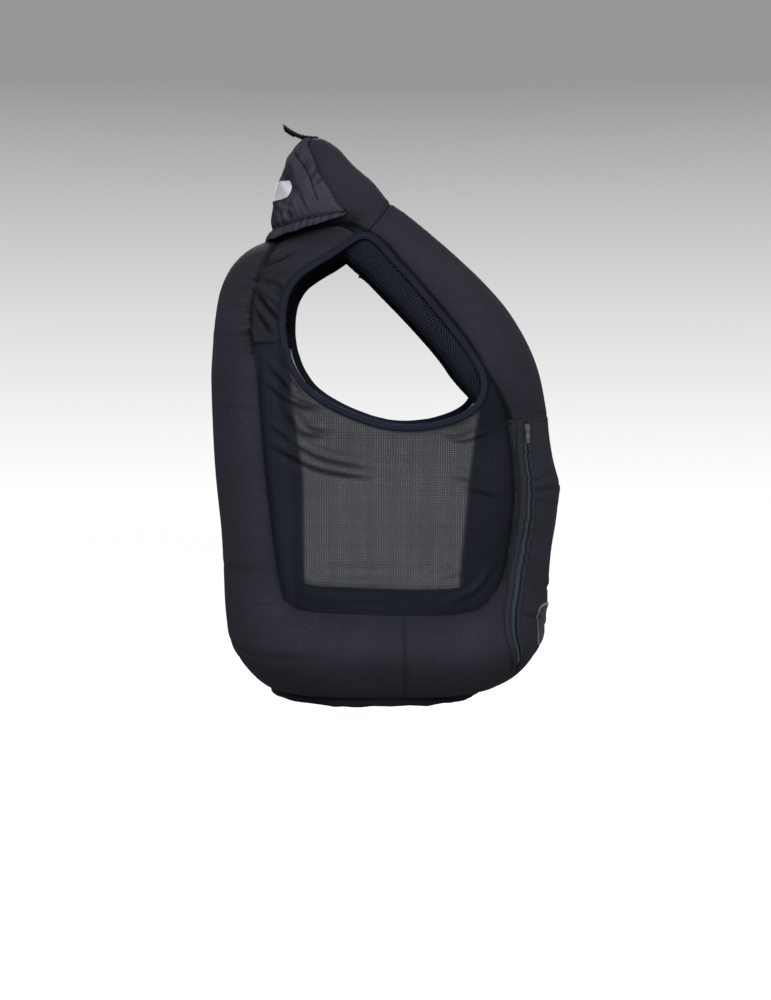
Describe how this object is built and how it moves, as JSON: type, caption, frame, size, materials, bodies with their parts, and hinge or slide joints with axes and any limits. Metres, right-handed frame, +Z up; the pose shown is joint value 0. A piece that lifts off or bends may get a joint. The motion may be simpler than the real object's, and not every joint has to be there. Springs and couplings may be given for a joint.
{
  "type": "airbag vest",
  "caption": "Inflated airbag vest with padded front tubes, chest columns and back, an inflated collar with a cloth pouch, see-through mesh sides, bound armholes and hem, and an access zip.",
  "frame": {"origin": "where the vest sits on the shoulders: on the centre plane, at the base of the neck", "axes": "+Z up, -Y to the front of the wearer, -X to the wearer's right"},
  "size_m": [0.4152, 0.4214, 0.6996],
  "materials": {
    "shellCloth": "matte stretch cloth",
    "pouchCloth": "thin cloth with a slight sheen",
    "sideMesh": "see-through knitted mesh",
    "lining": "honeycomb spacer knit",
    "bindingTape": "folded stretch tape",
    "hookTape": "hook tape",
    "zipTapeCloth": "woven zip tape",
    "zipCoil": "satin nylon coil",
    "metal": "bright plated die casting",
    "paleLabel": "plain pale print",
    "patchCloth": "plain rimmed patch"
  },
  "bodies": {
    "vest": {"front_panel_right": "shellCloth", "front_panel_left": "shellCloth", "back_panel": "shellCloth", "chest_right": "shellCloth", "chest_left": "shellCloth", "collar_roll": "shellCloth", "yoke_right": "shellCloth", "yoke_left": "shellCloth", "collar_pouch": "pouchCloth", "pouch_hem_band": "pouchCloth", "collar_tab": "pouchCloth", "side_mesh_right": "sideMesh", "side_mesh_left": "sideMesh", "chest_lining_right": "lining", "chest_lining_left": "lining", "armhole_binding_right": "bindingTape", "armhole_binding_left": "bindingTape", "hem_binding": "bindingTape", "centre_closure": "bindingTape", "tab_hook_patch": "hookTape", "zip_tape": "zipTapeCloth", "zip_coil": "zipCoil", "zip_slider": "metal", "collar_label": "paleLabel", "front_patch": "patchCloth"},
    "zip_pull": {"zip_pull": "metal"}
  },
  "joints": [
    {"name": "pull_swing", "type": "hinge", "parent": "vest", "child": "zip_pull", "pos_m": [-0.10682, -0.18693, -0.23832], "axis": [-0.4188, 0.9066, -0.0521], "range_deg": [0, 170]}
  ]
}
